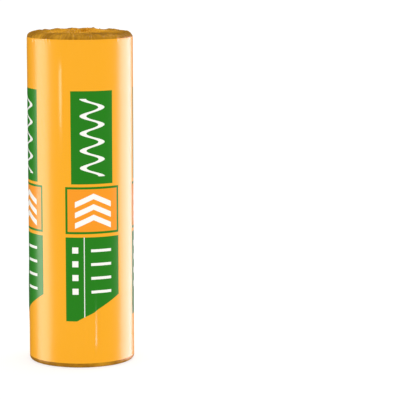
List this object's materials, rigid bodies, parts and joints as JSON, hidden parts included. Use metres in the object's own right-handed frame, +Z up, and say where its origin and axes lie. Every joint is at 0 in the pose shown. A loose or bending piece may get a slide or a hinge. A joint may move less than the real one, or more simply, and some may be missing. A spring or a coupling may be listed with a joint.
{
  "type": "insulation roll",
  "caption": "Tall roll of compressed glass wool insulation standing on its end, wrapped in a glossy printed film sleeve whose ends are gathered in pleats round a small opening.",
  "frame": {"origin": "middle of the end that the roll stands on, on the floor", "axes": "+Z up along the roll's axis, which is also its longest side; -Y faces the picture's camera"},
  "size_m": [0.3843, 0.3844, 1.2064],
  "materials": {
    "glass_wool": "matt fibrous felt",
    "printed_film": "glossy printed polyethylene film"
  },
  "bodies": {
    "root": {"wool_roll": "glass_wool", "film_sleeve": "printed_film"}
  },
  "joints": []
}
